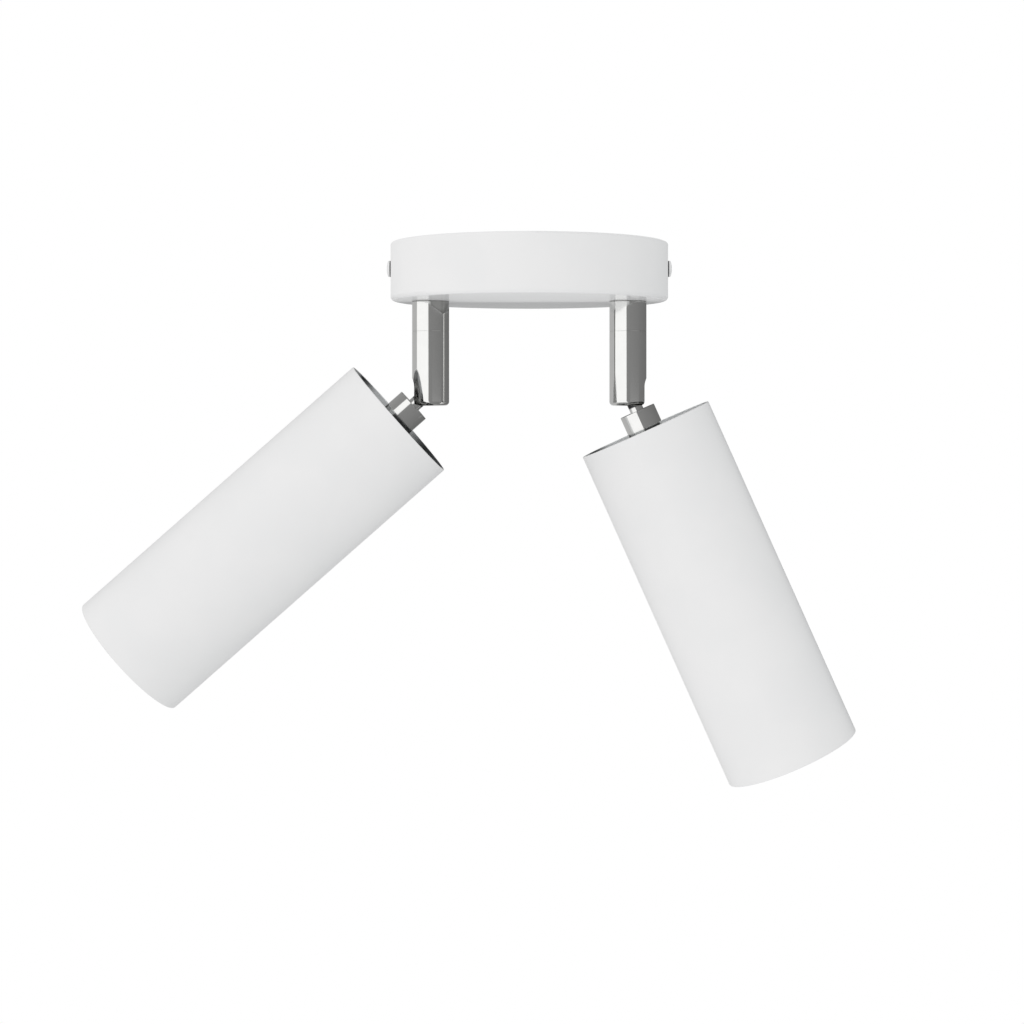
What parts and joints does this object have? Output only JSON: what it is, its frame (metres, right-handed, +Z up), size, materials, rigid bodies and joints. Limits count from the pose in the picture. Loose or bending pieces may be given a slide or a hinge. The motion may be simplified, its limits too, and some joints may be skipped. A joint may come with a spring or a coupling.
{
  "type": "twin spotlight",
  "caption": "Ceiling spotlight pair: a round rose, slotted ball-joint stems that swivel and tilt, and open tube shades that each hold a small screw-cap bulb.",
  "frame": {"origin": "middle of the ceiling plane, between the strap's two slots", "axes": "+Z up to the ceiling, +X along the line of the two stems, +Y away from the viewer of the front"},
  "size_m": [0.3339, 0.12, 0.2346],
  "materials": {
    "white_paint": "white semi-gloss powder coat",
    "chrome": "polished",
    "zinc_steel": "zinc plated",
    "screw_paint": "white lacquered head on a dark screw",
    "brass": "bare",
    "block_plastic": "moulded",
    "lead_brown": "extruded sleeve",
    "lead_blue": "extruded sleeve",
    "lead_green": "extruded sleeve with stripe",
    "spring_steel": "spring temper",
    "black_plastic": "moulded",
    "core_insulator": "moulded",
    "bridge_steel": "blackened",
    "lamp_cap_metal": "rolled thread",
    "opal_glass": "opal"
  },
  "bodies": {
    "rose": {"ceiling_rose": "white_paint", "mounting_strap": "zinc_steel", "side_screws": "screw_paint", "terminal_block": "block_plastic", "terminal_barrels": "brass", "terminal_screws": "zinc_steel", "strap_screws": "zinc_steel", "live_leads": "lead_brown", "neutral_leads": "lead_blue", "earth_leads": "lead_green", "stem_nuts": "zinc_steel", "stem_washers": "zinc_steel", "snap_rings": "spring_steel", "stem_nipple_left": "zinc_steel", "stem_nipple_right": "zinc_steel", "swivel_base_left": "chrome", "swivel_base_right": "chrome"},
    "swivel_left": {"swivel_body_left": "chrome", "disc_springs_left": "spring_steel", "ball_cup_left": "black_plastic"},
    "head_left": {"ball_stem_left": "chrome", "collar_left": "chrome", "shade_tube_left": "white_paint", "tube_bridge_left": "bridge_steel", "lamp_nipple_left": "zinc_steel", "holder_cap_left": "black_plastic", "holder_sleeve_left": "black_plastic", "holder_core_left": "core_insulator", "screw_shell_left": "brass", "centre_contact_left": "brass", "bulb_cap_left": "lamp_cap_metal", "bulb_globe_left": "opal_glass"},
    "swivel_right": {"swivel_body_right": "chrome", "disc_springs_right": "spring_steel", "ball_cup_right": "black_plastic"},
    "head_right": {"ball_stem_right": "chrome", "collar_right": "chrome", "shade_tube_right": "white_paint", "tube_bridge_right": "bridge_steel", "lamp_nipple_right": "zinc_steel", "holder_cap_right": "black_plastic", "holder_sleeve_right": "black_plastic", "holder_core_right": "core_insulator", "screw_shell_right": "brass", "centre_contact_right": "brass", "bulb_cap_right": "lamp_cap_metal", "bulb_globe_right": "opal_glass"}
  },
  "joints": [
    {"name": "pan_left", "type": "hinge", "parent": "rose", "child": "swivel_left", "pos_m": [-0.04275, 0, -0.0382], "axis": [0, 0, 1], "range_deg": [-90, 90]},
    {"name": "tilt_left", "type": "hinge", "parent": "swivel_left", "child": "head_left", "pos_m": [-0.04275, 0, -0.06365], "axis": [0, 1, 0], "range_deg": [-48.6, 41.4]},
    {"name": "pan_right", "type": "hinge", "parent": "rose", "child": "swivel_right", "pos_m": [0.04275, 0, -0.0382], "axis": [0, 0, 1], "range_deg": [-90, 90]},
    {"name": "tilt_right", "type": "hinge", "parent": "swivel_right", "child": "head_right", "pos_m": [0.04275, 0, -0.06365], "axis": [0, -1, 0], "range_deg": [-24.15, 65.85]}
  ]
}
